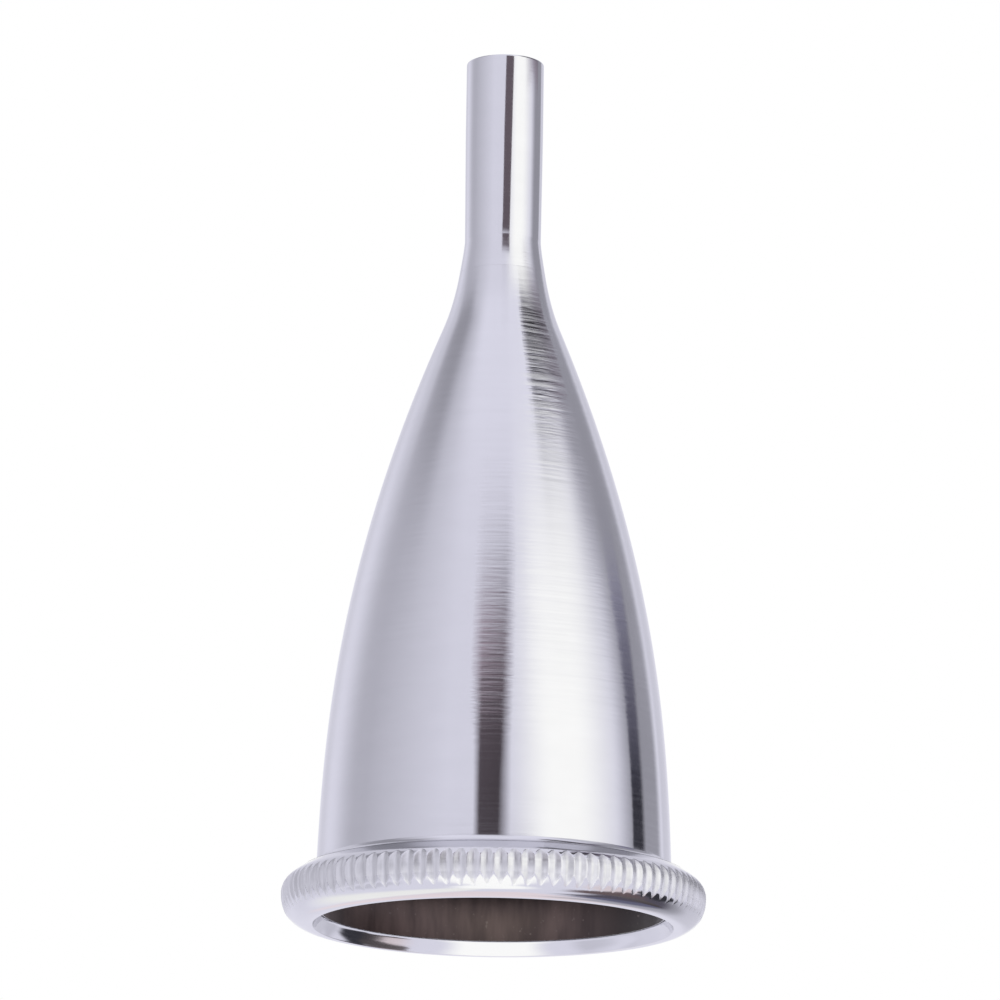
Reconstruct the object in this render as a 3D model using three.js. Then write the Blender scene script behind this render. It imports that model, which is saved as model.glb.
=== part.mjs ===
// Ear speculum: a slim ear tube, a bell that flares out of it, and a knurled grip ring round its mouth.
// Millimetres, +Z up. The mouth lies on z = 0 and the ear tip points up, along the shared axis.
import * as THREE from "three";

// Driving dimensions, in the order in which the pieces stand on each other, from the mouth up to the tip.
// Knurled ring: how far its outline stands out from the bell's foot, and how high each stretch of it rises
const bellFootRadius = 7.9;
const ringStandout = 1.55;
const shoulderInset = 0.45;
const ringLedge = 0.68;
const lipInset = 0.15;
const landStandout = 0.27;
const landWidth = 0.15;
const bevelStandout = 0.02;
const bevelHeight = 0.2;
const mouthEdgeHeight = 0.6;
const seatStep = 0.02;
const lipTopHeight = 0.64;
const lipArcHeight = 1.07;
const beltRise = 0.72;
const shoulderRise = 0.78;
const ringTopRise = 0.28;
const toothCount = 100;
const toothDepth = 0.2;

// Bell: a straight foot in the ring, a long convex stretch, and a short concave one up to its neck
const bellWall = 0.24;
const ringFilletRise = 0.36;
const convexRise = 24.52;
const neckRise = 2.7;
const waistStandout = 0.75;
const neckEdge = 0.12;
const footLean = 0.037;
const waistLean = 0.416;
const topLean = 0.169;
const footPullShare = 0.221;
const waistPullShare = 0.492;
const neckPullShare = 0.352;

// Ear tube: how deep it sits in the bell's neck, how far it stands out, and its radii
const socketDepth = 1.4;
const tubeReach = 10.0;
const tipLength = 3.5;
const tubeNeckRadius = 1.73;
const tubeWall = 0.25;
const tipSwell = 0.04;
const tipRound = 0.07;

// Solder: its film in both joints, the clearance on each side of it, and how far it climbs the tube
const solderGap = 0.02;
const solderFilm = 0.06;
const neckFilletRise = 1.6;
const filletEdge = 0.02;

// Facets round the axis, and steps along the curved stretches of the outlines
const sideCount = 80;
const longSteps = 13;
const shortSteps = 4;
const roundSteps = 3;

// Heights above the mouth's plane
const bellSeatHeight = mouthEdgeHeight + seatStep;
const beltHeight = lipTopHeight + beltRise;
const shoulderHeight = beltHeight + shoulderRise;
const ringTopHeight = shoulderHeight + ringTopRise;
const bellSpringHeight = ringTopHeight + ringFilletRise;
const waistHeight = bellSpringHeight + convexRise;
const bellTopHeight = waistHeight + neckRise;
const tubeSeatHeight = bellTopHeight - socketDepth;
const tipHeight = bellTopHeight + tubeReach;

// Radii that follow from the pieces which fit into each other
const filmSpace = solderFilm + 2 * solderGap;
const boreRadius = tubeNeckRadius - tubeWall;
const tipRadius = tubeNeckRadius + tipSwell;
const socketRadius = tubeNeckRadius + filmSpace;
const bellTopRadius = socketRadius + neckEdge;
const waistRadius = bellTopRadius + waistStandout;
const counterboreRadius = bellFootRadius + filmSpace;
const ringRadius = bellFootRadius + ringStandout;
const shoulderRadius = ringRadius - shoulderInset;
const ringTopRadius = bellFootRadius + ringLedge;
const lipRadius = ringRadius - lipInset;
const landRadius = bellFootRadius + landStandout;
const bevelRadius = bellFootRadius + bevelStandout;
const mouthRadius = bellFootRadius - bellWall + seatStep;

const chrome = { color: 0xd2d3dc, metalness: 1, roughness: 0.12 };
const satin = { color: 0xc4c4ce, metalness: 1, roughness: 0.32 };
const solder = { color: 0xc9cad2, metalness: 1, roughness: 0.22 };

function point(radius, height) {
  return new THREE.Vector2(radius, height);
}

// A point a given way along a line that leans in by lean for each unit that it climbs
function along(start, lean, distance) {
  const direction = point(-lean, 1).normalize();
  return start.clone().addScaledVector(direction, distance);
}

// Turns a closed outline of radius and height round the Z axis
function turned(outline, sides = sideCount) {
  const geometry = new THREE.LatheGeometry([...outline, outline[0].clone()], sides);
  return geometry.rotateX(Math.PI / 2);
}

function node(name, geometry, finish) {
  const mesh = new THREE.Mesh(geometry, new THREE.MeshStandardMaterial(finish));
  mesh.name = name;
  return mesh;
}

// The bell's outside as two smooth stretches that share a tangent at the waist
function bellStretches() {
  const foot = point(bellFootRadius, bellSpringHeight);
  const waist = point(waistRadius, waistHeight);
  const top = point(bellTopRadius, bellTopHeight);
  const convex = new THREE.CubicBezierCurve(
    foot,
    along(foot, footLean, footPullShare * convexRise),
    along(waist, waistLean, -waistPullShare * convexRise),
    waist,
  );
  const concave = new THREE.CubicBezierCurve(
    waist,
    along(waist, waistLean, neckPullShare * neckRise),
    along(top, topLean, -neckPullShare * neckRise),
    top,
  );
  return { convex, concave };
}

// Points one wall thickness inside a curve, measured square to it
function insideOf(curve, steps, wall) {
  const points = [];
  for (let i = 0; i <= steps; i += 1) {
    const tangent = curve.getTangent(i / steps);
    const inward = point(-tangent.y, tangent.x);
    points.push(curve.getPoint(i / steps).addScaledVector(inward, wall));
  }
  return points;
}

function earTube() {
  const seat = tubeSeatHeight + solderGap;
  const filletTop = bellTopHeight + neckFilletRise;
  const tip = [];
  for (let i = 0; i <= roundSteps; i += 1) {
    const turn = (Math.PI / 2) * (i / roundSteps);
    const radius = tipRadius - tipRound + tipRound * Math.cos(turn);
    tip.push(point(radius, tipHeight - tipRound + tipRound * Math.sin(turn)));
  }
  return turned([
    point(boreRadius, seat),
    point(tubeNeckRadius, seat),
    point(tubeNeckRadius, filletTop),
    point(tipRadius, tipHeight - tipLength),
    ...tip,
    point(boreRadius, tipHeight),
  ]);
}

function bell() {
  const { convex, concave } = bellStretches();
  const foot = bellSeatHeight + solderGap;
  const outside = [...convex.getPoints(longSteps), ...concave.getPoints(shortSteps).slice(1)];
  const inside = insideOf(convex, longSteps, bellWall).reverse();
  return turned([
    point(bellFootRadius, foot),
    ...outside,
    point(socketRadius, bellTopHeight),
    point(socketRadius, tubeSeatHeight),
    point(boreRadius, tubeSeatHeight),
    ...inside,
    point(bellFootRadius - bellWall, foot),
  ]);
}

// The film in the neck's socket, and the fillet that fairs the bell into the tube above it
function neckSolder() {
  const innerRadius = tubeNeckRadius + solderGap;
  const foot = point(bellTopRadius - solderGap, bellTopHeight + solderGap);
  const end = point(innerRadius + filletEdge, bellTopHeight + neckFilletRise);
  const corner = point(end.x, foot.y + (foot.x - end.x) / topLean);
  const fillet = new THREE.QuadraticBezierCurve(foot, corner, end);
  return turned([
    point(innerRadius, tubeSeatHeight + solderGap),
    point(innerRadius + solderFilm, tubeSeatHeight + solderGap),
    point(innerRadius + solderFilm, foot.y),
    ...fillet.getPoints(shortSteps),
    point(innerRadius, end.y),
  ]);
}

// The film in the ring's counterbore, and the hollow fillet between the bell and the ring's top
function ringSolder() {
  const innerRadius = bellFootRadius + solderGap;
  const foot = point(ringTopRadius, ringTopHeight + solderGap);
  const end = point(innerRadius + filletEdge, bellSpringHeight - solderGap);
  const corner = point(end.x, foot.y);
  const fillet = new THREE.QuadraticBezierCurve(foot, corner, end);
  return turned([
    point(innerRadius, bellSeatHeight + solderGap),
    point(innerRadius + solderFilm, bellSeatHeight + solderGap),
    point(innerRadius + solderFilm, foot.y),
    ...fillet.getPoints(shortSteps),
    point(innerRadius, end.y),
  ]);
}

// The rounded lip: a quarter oval that runs down from the knurl to the flat land it rests on
function lipOutline() {
  const reachShare = Math.sqrt(1 - (1 - lipTopHeight / lipArcHeight) ** 2);
  const reach = (lipRadius - landRadius) / reachShare;
  const start = Math.asin(1 - lipTopHeight / lipArcHeight);
  const points = [];
  for (let i = 0; i <= shortSteps; i += 1) {
    const turn = start + (Math.PI / 2 - start) * (i / shortSteps);
    const radius = landRadius + reach * Math.cos(turn);
    points.push(point(radius, lipArcHeight * (1 - Math.sin(turn))));
  }
  return points;
}

// The knurled belt's outline over the crests: straight off the shoulder's cone, widest at the belt
function beltOutline() {
  const lean = (ringTopHeight - shoulderHeight) / (shoulderRadius - ringTopRadius);
  const shoulder = point(shoulderRadius, shoulderHeight);
  const corner = point(ringRadius, shoulderHeight - lean * (ringRadius - shoulderRadius));
  const belt = point(ringRadius, beltHeight);
  const lowCorner = point(ringRadius, (beltHeight + lipTopHeight) / 2);
  const upper = new THREE.QuadraticBezierCurve(shoulder, corner, belt);
  const lower = new THREE.QuadraticBezierCurve(belt, lowCorner, point(lipRadius, lipTopHeight));
  return [...upper.getPoints(roundSteps), ...lower.getPoints(roundSteps).slice(1)];
}

// Cuts the flutes: every second meridian goes in to the radius of their floors, so that each flute runs
// straight up the belt and closes where the belt itself narrows
function cutFlutes(geometry) {
  const floorRadius = ringRadius - toothDepth;
  const place = geometry.attributes.position;
  for (let i = 0; i < place.count; i += 1) {
    const radius = Math.hypot(place.getX(i), place.getY(i));
    const turn = Math.atan2(place.getY(i), place.getX(i)) / (2 * Math.PI);
    const meridian = Math.round(turn * 2 * toothCount);
    if (meridian % 2 !== 0 && radius > floorRadius) {
      const scale = floorRadius / radius;
      place.setXY(i, place.getX(i) * scale, place.getY(i) * scale);
    }
  }
  return geometry;
}

function knurledRing() {
  const outline = [
    point(counterboreRadius, bellSeatHeight),
    point(counterboreRadius, ringTopHeight),
    point(ringTopRadius, ringTopHeight),
    ...beltOutline(),
    ...lipOutline().slice(1),
    point(landRadius - landWidth, 0),
    point(bevelRadius, bevelHeight),
    point(mouthRadius, mouthEdgeHeight),
    point(mouthRadius, bellSeatHeight),
  ];
  return cutFlutes(turned(outline.reverse(), 2 * toothCount));
}

const speculum = new THREE.Group();
speculum.add(
  node("ear_tube", earTube(), chrome),
  node("bell", bell(), satin),
  node("neck_solder", neckSolder(), solder),
  node("ring_solder", ringSolder(), solder),
  node("knurled_ring", knurledRing(), chrome),
);

export default speculum;
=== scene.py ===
import math

import bpy
import numpy as np
from mathutils import Matrix, Vector


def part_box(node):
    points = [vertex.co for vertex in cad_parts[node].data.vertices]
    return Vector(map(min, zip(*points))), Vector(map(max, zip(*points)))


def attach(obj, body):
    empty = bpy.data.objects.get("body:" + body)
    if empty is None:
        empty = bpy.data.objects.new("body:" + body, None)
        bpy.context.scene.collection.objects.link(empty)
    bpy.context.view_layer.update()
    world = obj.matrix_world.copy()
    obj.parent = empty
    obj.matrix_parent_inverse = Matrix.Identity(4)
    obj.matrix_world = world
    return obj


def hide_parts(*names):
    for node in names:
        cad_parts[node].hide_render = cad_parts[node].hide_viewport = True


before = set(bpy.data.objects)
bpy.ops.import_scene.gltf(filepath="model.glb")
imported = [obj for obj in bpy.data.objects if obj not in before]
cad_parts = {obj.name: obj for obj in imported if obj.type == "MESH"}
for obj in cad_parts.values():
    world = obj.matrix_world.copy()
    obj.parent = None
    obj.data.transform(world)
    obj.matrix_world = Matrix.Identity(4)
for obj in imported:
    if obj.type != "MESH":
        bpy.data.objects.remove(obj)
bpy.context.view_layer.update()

MM = 0.001

# Outlines are in millimetres. These heights and radii come from the frame's own boxes.
tube_low, tube_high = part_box("ear_tube")
bell_low, bell_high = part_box("bell")
ring_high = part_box("knurled_ring")[1]
neck_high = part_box("neck_solder")[1]
seam_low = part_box("ring_solder")[0]

TIP_TOP = tube_high.z / MM
TIP_RADIUS = tube_high.x / MM
TUBE_SEAT = tube_low.z / MM
BELL_FOOT = bell_low.z / MM
BELL_TOP = bell_high.z / MM
FOOT_RADIUS = bell_high.x / MM
RING_RADIUS = ring_high.x / MM
RING_TOP = ring_high.z / MM
NECK_FILLET_TOP = neck_high.z / MM
SEAM_FOOT = seam_low.z / MM

# The sizes of the solids inside those boxes. A pair is a radius and a height.
TUBE_RADIUS = 1.73
BORE_RADIUS = 1.48
TIP_LENGTH = 3.5
SOCKET_RADIUS = 1.83
SOCKET_FLOOR = 28.6
BELL_WALL = 0.24
BELL_NECK_RADIUS = 1.95
BELL_SPRING = 2.78
WAIST = (2.7, 27.3)
COUNTERBORE = (8.0, 0.62)
RING_TOP_RADIUS = 8.58
SHOULDER = (9.0, 2.14)
BELT_HEIGHT = 1.36
BELT_FOOT = 1.0
LIP_TOP = (9.3, 0.64)
LIP_ARC_HEIGHT = 1.07
LAND_OUTSIDE = 8.17
LAND_INSIDE = 8.02
BEVEL_TOP = (7.92, 0.2)
MOUTH_EDGE = (7.68, 0.6)

# How far the bell's outline leans in for each unit that it climbs, and how far the handles of its curves reach, as
# shares of each curve's rise
FOOT_LEAN, WAIST_LEAN, TOP_LEAN = 0.037, 0.416, 0.169
FOOT_PULL, WAIST_PULL, NECK_PULL = 0.221, 0.492, 0.352

# The knurl, with how softly a flute's edges round, which is also the depth where its rougher plate begins
TEETH = 100
FLUTE_DEPTH = 0.085
FLUTE_EDGE = 0.006

# Sides of the meshes round the axis
ROUND_SIDES = 512
NARROW_SIDES = 360
TOOTH_SIDES = 16

# The metals' colours, and the tints of the studio's lights
PLATE = (0.70, 0.70, 0.73)
KNURL_PLATE = (0.75, 0.75, 0.77)
COOL = (1.0, 0.99, 1.11)
WHITE = (1.0, 1.0, 0.96)
PLUM = (1.06, 0.85, 1.0)
BLUSH = (1.1, 0.97, 1.0)

# The range in which most values of a noise lie
NOISE_RANGE = (0.3, 0.7)


def bezier(points, steps):
    """Points along a Bezier curve of any degree, its ends included."""
    t = np.linspace(0, 1, steps + 1)[:, None]
    layer = [np.array(p, float)[None, :] + 0 * t for p in points]
    while len(layer) > 1:
        layer = [a * (1 - t) + b * t for a, b in zip(layer, layer[1:])]
    return layer[0]


def leaning(start, lean, distance):
    """A point some way along a line that leans in by lean for each unit that it climbs."""
    direction = np.array([-lean, 1.0])
    return np.array(start) + direction / np.hypot(*direction) * distance


def bell_curves():
    """The handles of the bell's two outer curves: a long convex one, and a short concave one from the waist up."""
    foot = (FOOT_RADIUS, BELL_SPRING)
    top = (BELL_NECK_RADIUS, BELL_TOP)
    long_rise, short_rise = WAIST[1] - BELL_SPRING, BELL_TOP - WAIST[1]
    convex = [
        foot,
        leaning(foot, FOOT_LEAN, FOOT_PULL * long_rise),
        leaning(WAIST, WAIST_LEAN, -WAIST_PULL * long_rise),
        WAIST,
    ]
    concave = [
        WAIST,
        leaning(WAIST, WAIST_LEAN, NECK_PULL * short_rise),
        leaning(top, TOP_LEAN, -NECK_PULL * short_rise),
        top,
    ]
    return convex, concave


def inside_of(curve, wall):
    """A curve moved in by a wall thickness, square to itself."""
    step = np.gradient(curve, axis=0)
    inward = np.stack([-step[:, 1], step[:, 0]], 1)
    inward /= np.hypot(inward[:, 0], inward[:, 1])[:, None]
    return curve + inward * wall


def softened(outline, radii, steps):
    """Rounds the corners of a closed outline. radii maps a corner's index to its rounding radius.
    A point close before and after each rounding keeps the shading of the faces beside it flat."""
    longest_share, hold, hold_share = 0.45, 0.35, 0.05
    result = []
    for i, here in enumerate(outline):
        here = np.array(here, float)
        radius = radii.get(i, 0)
        if not radius:
            result.append(here)
            continue
        before = np.array(outline[i - 1], float) - here
        after = np.array(outline[(i + 1) % len(outline)], float) - here
        back, ahead = np.hypot(*before), np.hypot(*after)
        reach = min(radius, longest_share * back, longest_share * ahead)
        start, end = here + before / back * reach, here + after / ahead * reach
        result.append(start + before / back * min(reach * hold, back * hold_share))
        result.extend(bezier([start, here, end], steps))
        result.append(end + after / ahead * min(reach * hold, ahead * hold_share))
    return np.array(result)


def split_long(outline, longest):
    """Adds points to the long straight stretches of a closed outline."""
    result = []
    for a, b in zip(outline, np.roll(outline, -1, axis=0)):
        pieces = max(1, int(math.ceil(np.hypot(*(b - a)) / longest)))
        for k in range(pieces):
            result.append(a + (b - a) * k / pieces)
    return np.array(result)


def signed_area(outline):
    x, y = outline[:, 0], outline[:, 1]
    return 0.5 * float(np.sum(x * np.roll(y, -1) - np.roll(x, -1) * y))


def lathe(name, outline, sides, second, reshape=None):
    """A closed outline of radius and height, turned round Z. reshape(r, z, turn) may move the radii.
    second tells, for each step of the outline or for each face, whether it takes the second material."""
    rows = len(outline)
    turn = np.arange(sides) * 2 * math.pi / sides
    r = np.repeat(outline[:, 0][:, None], sides, axis=1)
    z = np.repeat(outline[:, 1][:, None], sides, axis=1)
    if reshape:
        r = reshape(r, z, turn)
    co = np.stack([r * np.cos(turn), r * np.sin(turn), z], -1).reshape(-1, 3) * MM
    i, j = np.meshgrid(np.arange(rows), np.arange(sides), indexing="ij")
    next_row, next_side = (i + 1) % rows, (j + 1) % sides
    corners = [i * sides + j, i * sides + next_side, next_row * sides + next_side, next_row * sides + j]
    faces = np.stack(corners, -1).reshape(-1, 4)
    if signed_area(outline) < 0:
        faces = faces[:, ::-1]
    mesh = bpy.data.meshes.new(name)
    mesh.vertices.add(len(co))
    mesh.vertices.foreach_set("co", co.ravel())
    mesh.loops.add(faces.size)
    mesh.loops.foreach_set("vertex_index", faces.ravel())
    mesh.polygons.add(len(faces))
    mesh.polygons.foreach_set("loop_start", np.arange(0, faces.size, 4))
    mesh.polygons.foreach_set("use_smooth", np.ones(len(faces), bool))
    slots = np.array(second, int).reshape(rows, -1)
    mesh.polygons.foreach_set("material_index", np.broadcast_to(slots, (rows, sides)).ravel())
    mesh.update(calc_edges=True)
    mesh.validate()
    return linked(name, mesh)


def linked(name, data):
    """A new object in the scene."""
    obj = bpy.data.objects.new(name, data)
    bpy.context.scene.collection.objects.link(obj)
    return obj


def tone(level, tint=COOL):
    """A colour at a given level."""
    return tuple(level * share for share in tint) + (1.0,)


class Nodes:
    """Short calls for building a node tree."""

    def __init__(self, owner):
        owner.use_nodes = True
        self.tree = owner.node_tree
        self.tree.nodes.clear()

    def make(self, kind, **settings):
        node = self.tree.nodes.new(kind)
        for key, value in settings.items():
            setattr(node, key, value)
        return node

    def put(self, socket, value):
        """Links a socket to an output, or sets its number or colour."""
        if hasattr(value, "is_output"):
            self.tree.links.new(value, socket)
        elif value is not None:
            socket.default_value = value

    def math(self, operation, a, b=None):
        node = self.make("ShaderNodeMath", operation=operation)
        self.put(node.inputs[0], a)
        self.put(node.inputs[1], b)
        return node.outputs[0]

    def ramp(self, value, low, high, out_low=0.0, out_high=1.0, smooth=True):
        node = self.make("ShaderNodeMapRange", interpolation_type="SMOOTHSTEP" if smooth else "LINEAR")
        names = ("Value", "From Min", "From Max", "To Min", "To Max")
        for name, setting in zip(names, (value, low, high, out_low, out_high)):
            self.put(node.inputs[name], setting)
        return node.outputs[0]

    def window(self, value, low, high, soft, soft_high=None):
        """1 between low and high, falling to 0 over soft on each side, or over soft_high on the high side."""
        far = soft if soft_high is None else soft_high
        rise = self.ramp(value, low - soft, low + soft)
        fall = self.ramp(value, high - far, high + far, 1.0, 0.0)
        return self.math("MULTIPLY", rise, fall)

    def mix(self, factor, a, b):
        node = self.make("ShaderNodeMix", data_type="RGBA")
        for index, value in ((0, factor), (6, a), (7, b)):
            self.put(node.inputs[index], value)
        return node.outputs[2]

    def mix_shaders(self, factor, a, b):
        node = self.make("ShaderNodeMixShader")
        for socket, value in zip(node.inputs, (factor, a, b)):
            self.put(socket, value)
        return node.outputs[0]

    def place(self, output, unit=1.0):
        """The three texture coordinates of a point, in a unit given in metres."""
        node = self.make("ShaderNodeSeparateXYZ")
        self.put(node.inputs[0], self.make("ShaderNodeTexCoord").outputs[output])
        return [value if unit == 1.0 else self.math("MULTIPLY", value, 1 / unit) for value in node.outputs]

    def azimuth(self, x, y):
        """Degrees round the axis, from -Y towards +X."""
        return self.math("MULTIPLY", self.math("ARCTAN2", x, self.math("MULTIPLY", y, -1.0)), 180 / math.pi)

    def noise(self, place, across, along, scale, detail, roughness=0.5):
        """Noise whose grain is squeezed by across in X and Y and by along in Z."""
        vector = self.make("ShaderNodeCombineXYZ")
        for socket, value, squeeze in zip(vector.inputs, place, (across, across, along)):
            self.put(socket, self.math("MULTIPLY", value, squeeze))
        node = self.make("ShaderNodeTexNoise", noise_dimensions="3D")
        self.put(node.inputs["Vector"], vector.outputs[0])
        for name, setting in (("Scale", scale), ("Detail", detail), ("Roughness", roughness)):
            self.put(node.inputs[name], setting)
        return node.outputs[0]

    def bump(self, height):
        """A normal from a height in millimetres."""
        node = self.make("ShaderNodeBump")
        self.put(node.inputs["Strength"], 1.0)
        self.put(node.inputs["Distance"], MM)
        self.put(node.inputs["Height"], height)
        return node.outputs[0]


def principled(name):
    """A new material, its nodes, its shader and its texture coordinates in millimetres."""
    material = bpy.data.materials.new(name)
    n = Nodes(material)
    shader = n.make("ShaderNodeBsdfPrincipled")
    n.put(n.make("ShaderNodeOutputMaterial").inputs[0], shader.outputs[0])
    return material, n, shader.inputs, n.place("Object", MM)


def metal(name, colour, roughness, line_height, wave_height, roughness_spread=0.03, anisotropy=0.0, strong=(),
          streak_height=0.0, rub=0.0):
    """Plated metal: turning lines round the axis, slow waves, and small changes of colour.
    strong lists where the lines are deeper, as (height from, to, softness, gain, angle from, to). streak_height is for
    streaks along the axis, and rub is how much smoother the metal is low down, where hands rub it."""
    broad_share, short_share, angle_softness = 1.8, 1.2, 4.0
    light_share, dark_share, streak_share = 1.02, 0.97, 0.86
    least_roughness, rubbed_to, unrubbed_from = 0.05, 7.0, 11.0
    material, n, sockets, place = principled(name)
    x, y, z = place
    fine = n.noise(place, 0.12, 9.0, 1.0, 2.0, 0.6)
    broad = n.noise(place, 0.08, 3.6, 1.0, 1.0)
    short = n.noise(place, 1.2, 7.0, 1.0, 1.0)
    lines = n.math("ADD", n.math("MULTIPLY", fine, line_height), n.math("MULTIPLY", broad, broad_share * line_height))
    lines = n.math("ADD", n.math("MULTIPLY", short, short_share * line_height), lines)
    gain = 1.0
    angle = n.azimuth(x, y)
    for low, high, soft, extra, start, end in strong:
        there = n.math("MULTIPLY", n.window(z, low, high, soft), n.window(angle, start, end, angle_softness))
        gain = n.math("ADD", n.math("MULTIPLY", there, extra), gain)
    waves = n.math("MULTIPLY", n.noise(place, 1.0, 1.0, 0.8, 1.0), wave_height)
    height = n.math("ADD", n.math("MULTIPLY", lines, gain), waves)
    tint = n.noise(place, 1.0, 2.5, 0.5, 2.0)
    if streak_height:
        streaks = n.noise(place, 6.0, 0.4, 1.0, 2.0)
        height = n.math("ADD", n.math("MULTIPLY", streaks, streak_height), height)
        tint, dark_share = n.ramp(streaks, *NOISE_RANGE), streak_share
    n.put(sockets["Normal"], n.bump(height))
    n.put(sockets["Base Color"], n.mix(tint, tone(dark_share, colour), tone(light_share, colour)))
    swing = n.math("MULTIPLY", n.ramp(fine, *NOISE_RANGE, -roughness_spread, roughness_spread, False), gain)
    rough = n.math("MAXIMUM", n.math("ADD", swing, roughness), least_roughness)
    if rub:
        rough = n.math("SUBTRACT", rough, n.ramp(z, rubbed_to, unrubbed_from, rub, 0.0))
    n.put(sockets["Roughness"], rough)
    n.put(sockets["Metallic"], 1.0)
    if anisotropy:
        n.put(sockets["Anisotropic"], anisotropy)
        n.put(sockets["Anisotropic Rotation"], 0.25)
        n.put(sockets["Tangent"], n.make("ShaderNodeTangent", direction_type="RADIAL", axis="Z").outputs[0])
    return material


def bore_metal():
    """The inside: unpolished and dull, with faint streaks along the axis and specks. It is darker on its right,
    towards +X, which is painted shade.
    """
    # right is the colour of the painted shade on the +X side of the inside
    dark, light, right, speck = (0.066, 0.049, 0.047), (0.125, 0.092, 0.086), (0.040, 0.033, 0.033), (0.17, 0.14, 0.13)
    material, n, sockets, place = principled("dull_bore")
    streaks = n.noise(place, 1.0, 0.2, 1.0, 3.0, 0.6)
    specks = n.ramp(n.noise(place, 1.0, 1.0, 5.0, 1.0), 0.68, 0.80)
    base = n.mix(n.ramp(streaks, *NOISE_RANGE), tone(1, dark), tone(1, light))
    # Painted shade: the colour darkens to right from 3 to 6.5 mm towards +X
    base = n.mix(n.ramp(place[0], 3.0, 6.5), base, tone(1, right))
    n.put(sockets["Base Color"], n.mix(n.math("MULTIPLY", specks, 0.5), base, tone(1, speck)))
    n.put(sockets["Roughness"], n.ramp(streaks, *NOISE_RANGE, 0.38, 0.5, False))
    n.put(sockets["Metallic"], 0.85)
    n.put(sockets["Normal"], n.bump(n.math("MULTIPLY", streaks, 0.004)))
    return material


chrome = metal("polished_chrome", PLATE, 0.10, 0.0003, 0.003)
satin = metal("satin_chrome", PLATE, 0.15, 0.0012, 0.001, roughness_spread=0.02, anisotropy=1.0, rub=0.05, strong=[
    (7.5, 16.0, 1.0, 2.5, -12, 14),
    (7.5, 20.0, 1.5, 1.5, -12, 14),
    (8.5, 15.5, 1.0, 1.0, 16, 60),
    (22.5, 28.4, 1.0, 4.0, 14, 50),
    (19.5, 28.4, 1.5, 2.0, 14, 50),
])
seam_metal = metal("plated_solder", PLATE, 0.14, 0.0008, 0.002)
knurl = metal("knurled_chrome", KNURL_PLATE, 0.38, 0.0003, 0.004, roughness_spread=0.05, streak_height=0.006)
bore = bore_metal()


def finish_piece(obj, node, slot, *materials):
    for material in materials:
        obj.data.materials.append(material)
    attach(obj, "root")
    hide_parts(node)


def make_tube():
    outline = [
        (BORE_RADIUS, TUBE_SEAT),
        (TUBE_RADIUS, TUBE_SEAT),
        (TUBE_RADIUS, NECK_FILLET_TOP),
        (TIP_RADIUS, TIP_TOP - TIP_LENGTH),
        (TIP_RADIUS, TIP_TOP),
        (BORE_RADIUS, TIP_TOP),
    ]
    broken_edge, neck_bend, tip_bend, tip_round = 0.04, 0.4, 0.6, 0.07
    rounding = {0: broken_edge, 1: broken_edge, 2: neck_bend, 3: tip_bend, 4: tip_round, 5: broken_edge}
    fine = split_long(softened(outline, rounding, 4), 0.6)
    at_bore = fine[:, 0] < BORE_RADIUS + 0.01
    piece = lathe("ear_tube_fine", fine, NARROW_SIDES, at_bore & np.roll(at_bore, -1))
    finish_piece(piece, "ear_tube", "polished_plate", chrome, bore)


def make_bell():
    convex, concave = bell_curves()
    convex_steps, concave_steps, inside_steps, edge = 110, 28, 90, 0.004
    shell = np.concatenate([
        [(FOOT_RADIUS, BELL_FOOT)],
        bezier(convex, convex_steps),
        bezier(concave, concave_steps)[1:-1],
        [(BELL_NECK_RADIUS + 0.0007, BELL_TOP - edge), (BELL_NECK_RADIUS, BELL_TOP)],
        [(BELL_NECK_RADIUS - edge, BELL_TOP), (SOCKET_RADIUS, BELL_TOP), (SOCKET_RADIUS, SOCKET_FLOOR)],
    ])
    hollow = np.concatenate([
        [(BORE_RADIUS, SOCKET_FLOOR)],
        inside_of(bezier(convex, inside_steps), BELL_WALL)[::-1],
        [(FOOT_RADIUS - BELL_WALL, BELL_FOOT)],
    ])
    outline = np.concatenate([shell, hollow])
    dull = np.arange(len(outline)) >= len(shell)
    dull[-1] = False
    piece = lathe("bell_fine", outline, ROUND_SIDES, dull)
    finish_piece(piece, "bell", "satin_plate", satin, bore)


def make_seams():
    """Both solder seams. Their visible faces lie flush with their neighbours, and run just under them at the ends."""
    gap, film, flush, edge = 0.02, 0.06, 0.002, 0.004

    def seam(node, sides, outline):
        fine = split_long(np.concatenate(outline), 0.5)
        finish_piece(lathe(node + "_fine", fine, sides, [False] * len(fine)), node, "solder", seam_metal)

    inner = TUBE_RADIUS + flush
    foot = np.array([BELL_NECK_RADIUS, BELL_TOP + flush])
    end = np.array([TUBE_RADIUS - flush, NECK_FILLET_TOP])
    corner = (end[0], foot[1] + (foot[0] - end[0]) / TOP_LEAN)
    seam("neck_solder", NARROW_SIDES, [
        [(inner, SOCKET_FLOOR + gap), (inner + film, SOCKET_FLOOR + gap), (inner + film, foot[1])],
        [(foot[0] - edge, foot[1]), foot, foot + (-TOP_LEAN * edge, edge)],
        bezier([foot, corner, end], 24)[1:-1],
        [end - (0, edge), end, (end[0] - edge, end[1])],
    ])

    inner = FOOT_RADIUS + flush
    foot = np.array([RING_TOP_RADIUS, RING_TOP + flush])
    end = np.array([inner, BELL_SPRING - flush])
    low_handle, high_handle = (8.03, foot[1]), (7.966, 2.62)
    seam("ring_solder", ROUND_SIDES, [
        [(inner, SEAM_FOOT), (inner + film, SEAM_FOOT), (inner + film, foot[1])],
        [foot, foot - (edge, 0)],
        bezier([foot, low_handle, high_handle, end], 20)[1:-1],
        [end + (0.4 * edge, -edge), end, end - (0, edge)],
    ])


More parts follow.
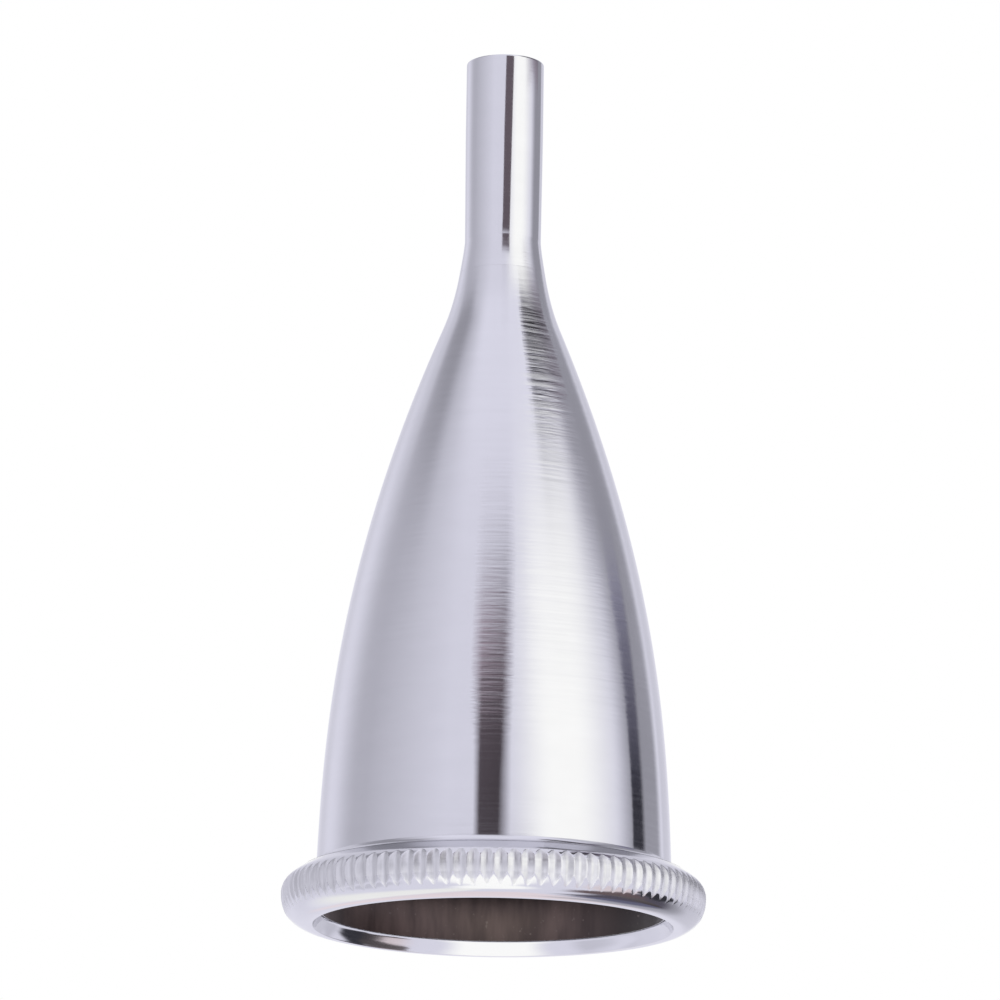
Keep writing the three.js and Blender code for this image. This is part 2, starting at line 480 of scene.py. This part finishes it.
def cut_flutes(r, z, turn):
    """Shallow V flutes with soft floors, which run out in tongues above the lip and below the shoulder."""
    floor_softness, floor_level, floor_rise = 0.06, 0.245, 0.785
    low_end, low_length, high_end, high_length, high_bluntness = 0.39, 0.55, 1.98, 0.32, 0.6
    pitch = 2 * math.pi / TEETH
    across = np.mod(turn / pitch, 1) * 2 - 1
    rise = (np.sqrt(across ** 2 + floor_softness) - floor_level) / floor_rise
    low = np.clip((z - low_end) / low_length, -1, 1)
    high = np.clip((high_end - z) / high_length, -1, 1)
    floor = r - FLUTE_DEPTH * (np.minimum(low, np.sign(high) * np.abs(high) ** high_bluntness) - rise)
    near = np.clip(1 - np.abs(r - floor) / (2 * FLUTE_EDGE), 0, 1)
    cut = np.minimum(r, floor) - FLUTE_EDGE * near * near / 2
    return np.where(r > SHOULDER[0], cut, r)


def make_ring():
    ring_top = (RING_TOP_RADIUS, RING_TOP)
    belt = (RING_RADIUS, BELT_HEIGHT)
    lean = (ring_top[1] - SHOULDER[1]) / (SHOULDER[0] - ring_top[0])
    high_corner = (RING_RADIUS, SHOULDER[1] - lean * (RING_RADIUS - SHOULDER[0]))
    start = math.asin(1 - LIP_TOP[1] / LIP_ARC_HEIGHT)
    reach = (LIP_TOP[0] - LAND_OUTSIDE) / math.cos(start)
    turn = np.linspace(start, math.pi / 2, 26)
    lip = np.stack([LAND_OUTSIDE + reach * np.cos(turn), LIP_ARC_HEIGHT * (1 - np.sin(turn))], 1)
    outline = np.concatenate([
        [COUNTERBORE, (COUNTERBORE[0], RING_TOP), ring_top],
        bezier([SHOULDER, high_corner, belt], 26),
        bezier([belt, (RING_RADIUS, BELT_FOOT), LIP_TOP], 22)[1:],
        lip[1:],
        [(LAND_INSIDE, 0.0), BEVEL_TOP, MOUTH_EDGE, (MOUTH_EDGE[0], COUNTERBORE[1])],
    ])
    count = len(outline)
    top_edge, land_edge, bevel_edge = 0.03, 0.02, 0.1
    rounding = {1: top_edge, 2: top_edge, count - 4: land_edge, count - 3: bevel_edge}
    fine = split_long(softened(outline, rounding, 3), 0.12)[::-1]
    sides = TEETH * TOOTH_SIDES
    turn = (np.arange(sides) + 0.5) * 2 * math.pi / sides
    middle = (fine + np.roll(fine, -1, axis=0)) / 2
    r, z = (np.repeat(middle[:, k][:, None], sides, axis=1) for k in (0, 1))
    in_flute = r - cut_flutes(r, z, turn) > FLUTE_EDGE
    piece = lathe("knurled_ring_fine", fine, sides, in_flute, cut_flutes)
    finish_piece(piece, "knurled_ring", "ring_plate", chrome, knurl)


def studio_world():
    """A pale tent with a large soft box, darker gaps beside it, and a bright floor below, seen in the metal.
    The camera itself sees plain white, and the metal shows that white where it mirrors what lies behind the object."""
    world = bpy.data.worlds.new("studio")
    bpy.context.scene.world = world
    n = Nodes(world)
    x, y, z = n.place("Generated")
    azimuth = n.azimuth(x, y)
    elevation = n.math("MULTIPLY", n.math("ARCSINE", z), 180 / math.pi)
    behind = n.math("ABSOLUTE", azimuth)

    # The tent darkens evenly towards its left side, and is pale again behind the object
    left = n.ramp(azimuth, -32, -95, 0.0, 1.0, False)
    left = n.math("MULTIPLY", left, n.ramp(azimuth, -136, -104))
    colour = n.mix(left, tone(0.90), tone(0.60))
    # (angle, its start and end, its softness at each, elevation from, to, softness, level), each over those before it
    panels = [
        (azimuth, -165, -122, 4, 6, 30, 68, 8, tone(0.74)),
        (azimuth, -181, -146, 1, 8, -5, 45, 8, tone(0.77)),
        (azimuth, -121, -79, 6, 12, 37, 90, 6, tone(0.37)),
        (azimuth, -56, 52, 14, 6, 47, 90, 5, tone(0.98)),
        (azimuth, 22, 76, 18, 22, -12, 41, 8, tone(1.34, WHITE)),
        (azimuth, 52, 82, 4, 8, 44, 52, 3, tone(0.66)),
        (azimuth, 96, 138, 11, 5, 8, 62, 4, tone(0.38)),
        (azimuth, 87, 118, 16, 6, 30, 52, 4, tone(0.40)),
        (azimuth, 144, 166, 3, 4, -12, 62, 6, tone(0.74)),
        (azimuth, 106, 142, 6, 5, 54, 68, 3, (0.17, 0.15, 0.21, 1)),
        (azimuth, -180, 180, 0.1, 0.1, 68, 91, 6, tone(0.92)),
        (azimuth, -181, 181, 1, 1, -91, -24, 5, tone(0.93)),
        (azimuth, -181, -84, 1, 8, -24, -12, 4, tone(0.87)),
        (azimuth, -167, -130, 4, 12, -85, -32, 9, tone(1.15, WHITE)),
        (azimuth, -104, -68, 6, 8, -50, -34, 5, tone(0.74)),
        (azimuth, 72, 104, 10, 4, -56, -32, 6, tone(0.84, BLUSH)),
        (azimuth, -38, 34, 12, 12, -91, -25, 5, tone(1.36, WHITE)),
        (azimuth, -181, 181, 1, 1, -91, -79, 4, tone(1.36, WHITE)),
        (behind, 166, 181, 5, 1, -20, 2, 3, tone(0.86)),
        (behind, 168, 181, 5, 1, -62, -20, 3, tone(0.92, BLUSH)),
        (azimuth, 148, 174, 4, 3, -30, 2, 4, tone(0.72)),
        (azimuth, 132, 150, 5, 4, -24, -10, 3, tone(0.68)),
        (azimuth, 128, 168, 8, 8, -40, -23, 5, tone(0.42)),
        (azimuth, 164, 175, 3, 3, -41, -24, 4, tone(0.46)),
        (azimuth, 106, 160, 5, 4, -60, -31, 4, (0.11, 0.10, 0.13, 1)),
        (azimuth, 100, 130, 5, 6, -68, -42, 4, (0.17, 0.125, 0.13, 1)),
        (azimuth, 152, 166, 4, 4, -52, -33, 3, (0.16, 0.16, 0.24, 1)),
        (azimuth, 98, 131, 3, 3, -38, -21, 2, (0.045, 0.045, 0.055, 1)),
        (behind, 162, 181, 6, 1, 0, 60, 4, tone(0.81)),
    ]
    for angle, start, end, soft_start, soft_end, bottom, top, soft, level in panels:
        across = n.window(angle, start, end, soft_start, soft_end)
        upright = n.window(elevation, bottom, top, soft)
        colour = n.mix(n.math("MULTIPLY", across, upright), colour, level)
    studio = n.make("ShaderNodeBackground")
    n.put(studio.inputs[0], colour)
    white = n.make("ShaderNodeBackground")
    n.put(white.inputs[0], (1, 1, 1, 1))
    path = n.make("ShaderNodeLightPath").outputs
    mirrored = n.math("MAXIMUM", path["Is Glossy Ray"], path["Is Transmission Ray"])
    backdrop = n.math("MULTIPLY", n.window(behind, 172, 181, 3, 1), n.window(elevation, 0, 30, 4))
    plain = n.math("MAXIMUM", path["Is Camera Ray"], n.math("MULTIPLY", mirrored, backdrop))
    n.put(n.make("ShaderNodeOutputWorld").inputs[0], n.mix_shaders(plain, studio.outputs[0], white.outputs[0]))


def dark_gap(name, rows, place, tint):
    """A dark gap in the tent: an upright strip close to the object, seen only in its reflections.
    Each row is a height, where the strip starts to fade in, is full, is last full and has faded out, and its light
    level at both full edges. place turns an edge into x and y. Levels that are nearly the tent's take its tint."""
    pale_from = 0.45
    co, shades = [], []
    for z, *edges, left, right in rows:
        for edge, cover, level in zip(edges, (0.0, 1.0, 1.0, 0.0), (left, left, right, right)):
            co.append((*(v * MM for v in place(edge)), z * MM))
            shades.append(tone(level, COOL if level > pale_from else tint)[:3] + (cover,))
    faces = [(k, k + 1, k + 5, k + 4) for i in range(len(rows) - 1) for k in range(4 * i, 4 * i + 3)]
    mesh = bpy.data.meshes.new(name)
    mesh.from_pydata(co, [], faces)
    layer = mesh.attributes.new("shade", "FLOAT_COLOR", "POINT")
    for point, colour in zip(layer.data, shades):
        point.color = colour
    material = bpy.data.materials.new(name)
    n = Nodes(material)
    shade = n.make("ShaderNodeAttribute", attribute_name="shade").outputs
    glow = n.make("ShaderNodeEmission")
    n.put(glow.inputs[0], shade["Color"])
    clear = n.make("ShaderNodeBsdfTransparent")
    surface = n.mix_shaders(shade["Alpha"], clear.outputs[0], glow.outputs[0])
    n.put(n.make("ShaderNodeOutputMaterial").inputs[0], surface)
    mesh.materials.append(material)
    obj = linked(name, mesh)
    obj.visible_camera = False
    obj.visible_shadow = False
    obj.visible_diffuse = False


def gaps():
    """The dark round the camera, as the bell and the tube see it, and the gaps beside and over the soft box."""
    dark_gap("camera_gap", [
        (4.0, -6.2, -4.2, 0.6, 4.6, 0.60, 0.60),
        (6.5, -6.4, -4.5, 0.8, 4.7, 0.07, 0.06),
        (11, -6.6, -4.7, 1.0, 4.8, 0.08, 0.06),
        (16, -7.2, -4.7, 1.8, 4.9, 0.10, 0.08),
        (19, -7.9, -4.8, 2.0, 5.0, 0.19, 0.12),
        (22, -9.2, -5.2, 2.3, 6.0, 0.30, 0.19),
        (25, -9.6, -5.4, 2.8, 6.0, 0.45, 0.22),
        (29, -9.8, -5.6, 3.2, 6.6, 0.68, 0.48),
        (34, -9.5, -6.0, 3.6, 7.2, 0.80, 0.66),
        (40, -9.0, -5.0, 4.0, 8.0, 0.90, 0.88),
    ], lambda x: (x, -30.0), PLUM)
    dark_gap("tube_gap", [
        (32.05, -0.19, -0.14, 1.05, 1.15, 0.88, 0.88),
        (32.4, -0.15, -0.10, 1.08, 1.18, 0.13, 0.13),
        (33, -0.10, -0.05, 1.10, 1.20, 0.14, 0.14),
        (37, -0.05, 0.03, 1.25, 1.35, 0.15, 0.15),
        (41, 0.15, 0.20, 1.46, 1.56, 0.15, 0.15),
    ], lambda x: (x, -4.0), PLUM)
    dark_gap("side_gap", [
        (8, 2.2, 3.0, 9.8, 13.0, 0.03, 0.03),
        (14, 2.3, 3.1, 9.8, 13.0, 0.03, 0.03),
        (17, 2.3, 3.2, 9.8, 13.0, 0.08, 0.08),
        (20, 2.4, 3.3, 10.0, 13.0, 0.13, 0.13),
        (24, 2.6, 3.5, 11.0, 14.0, 0.16, 0.16),
        (29, 2.7, 3.6, 12.6, 16.0, 0.22, 0.22),
        (34, 3.0, 3.8, 13.5, 17.0, 0.38, 0.38),
    ], lambda y: (40.0, y), (1.0, 0.97, 1.3))
    dark_gap("upper_gap", [
        (48, -15.0, 3.0, 10.0, 14.0, 0.40, 0.34),
        (51, -18.0, 3.0, 10.5, 14.0, 0.22, 0.16),
        (55, -20.0, -1.0, 10.5, 14.0, 0.10, 0.07),
        (59, -26.0, -7.0, 10.0, 13.0, 0.05, 0.03),
        (65, -31.0, -14.0, 9.5, 12.5, 0.03, 0.02),
        (69, -28.0, -17.0, 8.0, 12.0, 0.03, 0.02),
        (73, -26.0, -20.0, 4.0, 8.0, 0.05, 0.03),
        (78, -28.0, -23.0, -1.0, 5.0, 0.06, 0.06),
        (84, -30.0, -26.0, -5.0, 3.0, 0.16, 0.16),
        (92, -34.0, -29.0, -8.0, 0.0, 0.60, 0.60),
    ], lambda y: (30.0, y), (1.04, 0.92, 1.08))
    dark_gap("ring_gap", [
        (0.5, -24.0, -15.0, 9.0, 16.0, 0.56, 0.56),
        (7.0, -24.0, -15.0, 9.0, 16.0, 0.56, 0.56),
    ], lambda x: (x, -30.5), COOL)
    dark_gap("rim_gap", [
        (-16.8, -2.5, -1.2, -0.4, 0.8, 0.17, 0.17),
        (-15.2, -2.2, -0.8, 2.6, 4.4, 0.15, 0.12),
        (-14.2, -2.0, -0.6, 8.4, 10.4, 0.14, 0.08),
        (-12.4, -1.0, 0.5, 10.6, 12.6, 0.14, 0.07),
        (-10.6, 0.0, 1.5, 10.0, 12.0, 0.14, 0.08),
    ], lambda y: (15.0, y), (1.1, 0.95, 0.98))


def pale_floor():
    """A pale floor under the mouth, seen by the camera from above only, so that a low camera looks through it.
    It fades to plain white away from the object."""
    half_size, depth = 3.0, -0.05 * MM
    fade_start, fade_end = 0.05, 0.35
    corners = [(x * half_size, y * half_size, depth) for x, y in ((-1, -1), (1, -1), (1, 1), (-1, 1))]
    mesh = bpy.data.meshes.new("floor")
    mesh.from_pydata(corners, [], [(0, 1, 2, 3)])
    material = bpy.data.materials.new("pale_floor")
    n = Nodes(material)
    place = n.place("Object")
    x, y = place[:2]
    paper = n.make("ShaderNodeBsdfDiffuse")
    grain = n.noise(place, 1.0, 1.0, 900.0, 2.0)
    n.put(paper.inputs[0], n.mix(grain, (0.86, 0.86, 0.87, 1), (0.90, 0.90, 0.905, 1)))
    away = n.math("SQRT", n.math("ADD", n.math("MULTIPLY", x, x), n.math("MULTIPLY", y, y)))
    white = n.make("ShaderNodeEmission")
    top = n.mix_shaders(n.ramp(away, fade_start, fade_end), paper.outputs[0], white.outputs[0])
    front = n.math("SUBTRACT", 1.0, n.make("ShaderNodeNewGeometry").outputs["Backfacing"])
    seen = n.math("MULTIPLY", n.make("ShaderNodeLightPath").outputs["Is Camera Ray"], front)
    surface = n.mix_shaders(seen, n.make("ShaderNodeBsdfTransparent").outputs[0], top)
    n.put(n.make("ShaderNodeOutputMaterial").inputs[0], surface)
    mesh.materials.append(material)
    linked("floor", mesh)


def set_camera():
    """The photograph's view: a little below the mouth, from about 28 cm, leaning slightly."""
    frame_width, focal_pixels, sensor_width = 1000, 6203.492, 36.0
    back, below = 272.4427 * MM, 44.6142 * MM
    half_pixel = 0.5 / focal_pixels
    pitch, yaw, roll = 0.23110816 + half_pixel, 0.00021726 - half_pixel, 0.0143639
    level_side = Vector((math.cos(yaw), -math.sin(yaw), 0))
    forward = Vector((math.sin(yaw) * math.cos(pitch), math.cos(yaw) * math.cos(pitch), math.sin(pitch)))
    level_up = level_side.cross(forward)
    side = level_side * math.cos(roll) + level_up * math.sin(roll)
    above = level_up * math.cos(roll) - level_side * math.sin(roll)
    data = bpy.data.cameras.new("camera")
    data.sensor_width = sensor_width
    data.lens = focal_pixels * sensor_width / frame_width
    data.clip_start = 0.01
    camera = linked("camera", data)
    camera.matrix_world = Matrix((
        (side.x, above.x, -forward.x, 0),
        (side.y, above.y, -forward.y, -back),
        (side.z, above.z, -forward.z, -below),
        (0, 0, 0, 1),
    ))
    bpy.context.scene.camera = camera


make_tube()
make_bell()
make_seams()
make_ring()
studio_world()
gaps()
pale_floor()
set_camera()
bpy.context.scene.view_settings.view_transform = "Standard"
